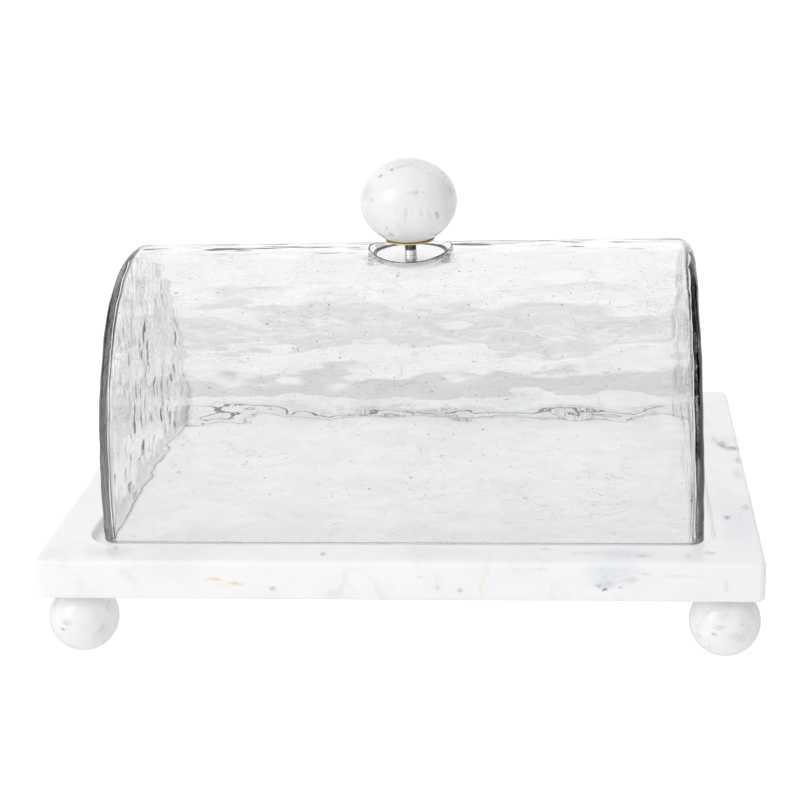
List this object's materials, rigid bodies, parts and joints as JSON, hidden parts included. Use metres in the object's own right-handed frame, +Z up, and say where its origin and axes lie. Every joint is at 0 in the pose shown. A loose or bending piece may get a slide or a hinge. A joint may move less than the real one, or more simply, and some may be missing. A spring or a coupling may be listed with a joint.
{
  "type": "cheese dome",
  "caption": "Rectangular marble serving tray on ball feet with a lift-off barrel-vaulted clear glass cover and a round marble knob.",
  "frame": {"origin": "centre of the footprint, on the surface that the ball feet stand on", "axes": "+X along the long side of the tray, +Y towards the back, +Z up along the knob screw"},
  "size_m": [0.305, 0.203, 0.1943],
  "materials": {
    "marble_slab": "honed white marble with faint blue-grey patches",
    "marble_ball": "polished white marble with fine grey veins",
    "steel": "bright zinc-plated steel",
    "dark_steel": "dark blued steel",
    "glass": "clear hammered glass with fine seed bubbles",
    "gasket": "translucent soft silicone",
    "chrome": "mirror chrome plate",
    "brass": "polished brass"
  },
  "bodies": {
    "base": {"marble_base": "marble_slab", "foot_front_left": "marble_ball", "foot_front_right": "marble_ball", "foot_back_left": "marble_ball", "foot_back_right": "marble_ball", "foot_ferrules": "steel", "foot_studs": "steel"},
    "dome": {"glass_dome": "glass", "outer_gasket": "gasket", "screw_sleeve": "gasket", "inner_gasket": "gasket", "inner_washer": "steel", "knob_screw": "steel", "knob_disc": "chrome", "neck_sleeve": "dark_steel", "brass_washer": "brass", "knob_insert": "brass", "knob": "marble_ball"}
  },
  "joints": [
    {"name": "dome_lift", "type": "slide", "parent": "base", "child": "dome", "axis": [0, 0, 1], "range_m": [0, 0.15]}
  ]
}
